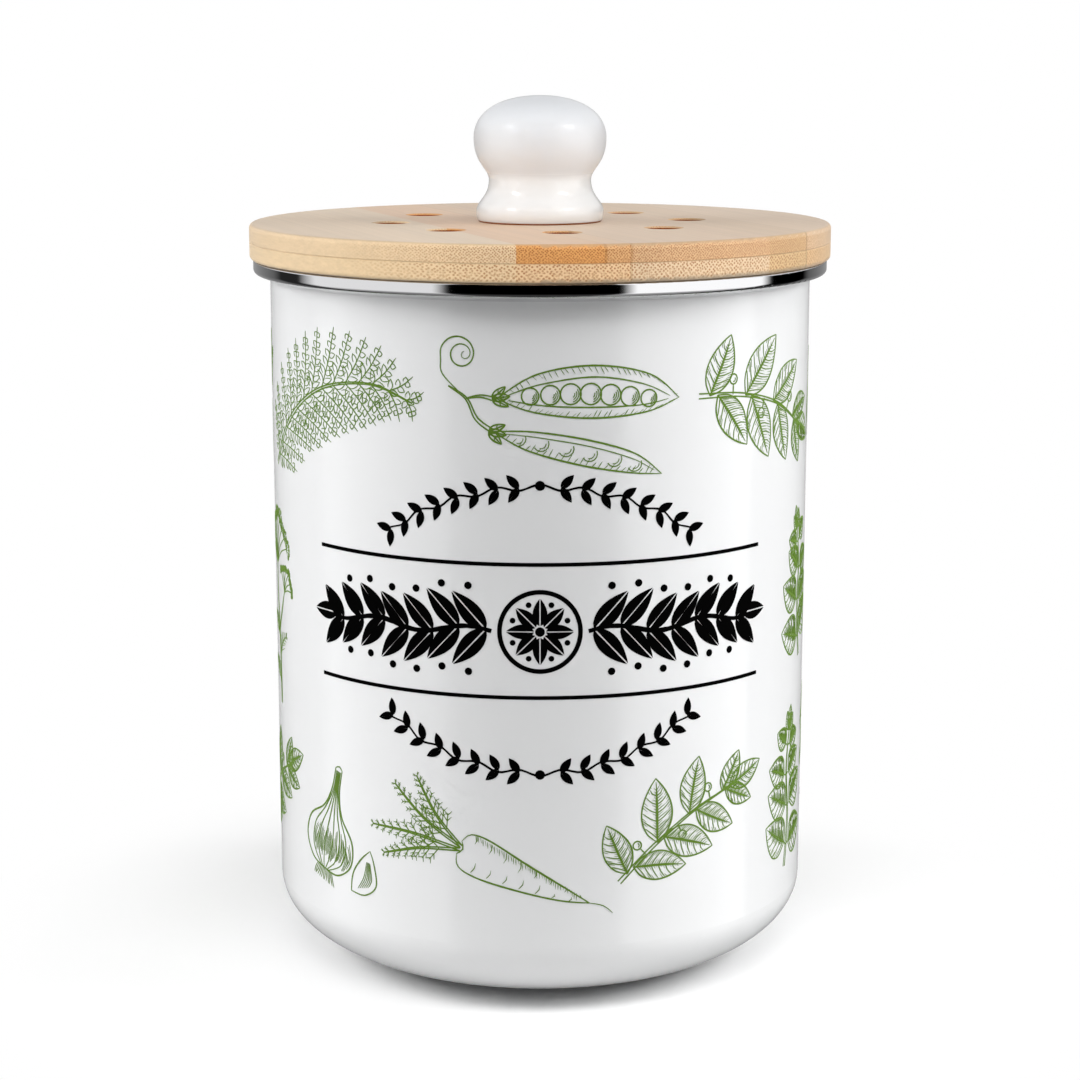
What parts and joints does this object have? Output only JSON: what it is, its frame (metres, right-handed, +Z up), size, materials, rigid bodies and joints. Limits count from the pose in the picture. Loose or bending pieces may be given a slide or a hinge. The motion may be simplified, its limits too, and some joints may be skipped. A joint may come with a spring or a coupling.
{
  "type": "countertop compost caddy",
  "caption": "Round enamelled kitchen compost caddy with a steel rim, a lift-off vented bamboo lid, a ceramic knob and a twist-off charcoal filter.",
  "frame": {"origin": "on the worktop, under the middle of the pot's base", "axes": "+Z up through the middle of the pot and the knob, -Y towards the viewer of the picture"},
  "size_m": [0.16, 0.16, 0.2384],
  "materials": {
    "enamel": "gloss vitreous enamel, white",
    "stainless": "polished stainless steel",
    "bamboo_upper": "oiled laminated bamboo",
    "bamboo_lower": "oiled laminated bamboo",
    "bamboo_plug": "oiled laminated bamboo",
    "silicone": "translucent white silicone",
    "glazed_knob": "gloss glaze, white",
    "brass_insert": "turned",
    "zinc_steel": "zinc plated",
    "collar_plastic": "moulded polypropylene",
    "cap_plastic": "moulded polypropylene",
    "charcoal_felt": "activated charcoal felt"
  },
  "bodies": {
    "pot": {"pot_shell": "enamel", "rim_ring": "stainless"},
    "lid": {"lid_upper_ply": "bamboo_upper", "lid_lower_ply": "bamboo_lower", "lid_plug": "bamboo_plug", "lid_seal": "silicone", "knob": "glazed_knob", "knob_insert": "brass_insert", "knob_washer": "zinc_steel", "knob_bolt": "zinc_steel", "filter_collar": "collar_plastic", "collar_screws": "zinc_steel"},
    "filter": {"filter_pad": "charcoal_felt"},
    "filter_cap": {"filter_cap": "cap_plastic"}
  },
  "joints": [
    {"name": "lid_lift", "type": "slide", "parent": "pot", "child": "lid", "axis": [0, 0, 1], "range_m": [0, 0.12]},
    {"name": "filter_drop", "type": "slide", "parent": "lid", "child": "filter", "axis": [0, 0, -1], "range_m": [0, 0.0121]},
    {"name": "filter_cap_turn", "type": "hinge", "parent": "filter", "child": "filter_cap", "pos_m": [0, 0, 0.184], "axis": [0, 0, -1], "range_deg": [0, 144]}
  ],
  "couplings": [
    {"joint": "filter_drop", "follows": "filter_cap_turn", "m_per_rad": 0.0047746}
  ]
}
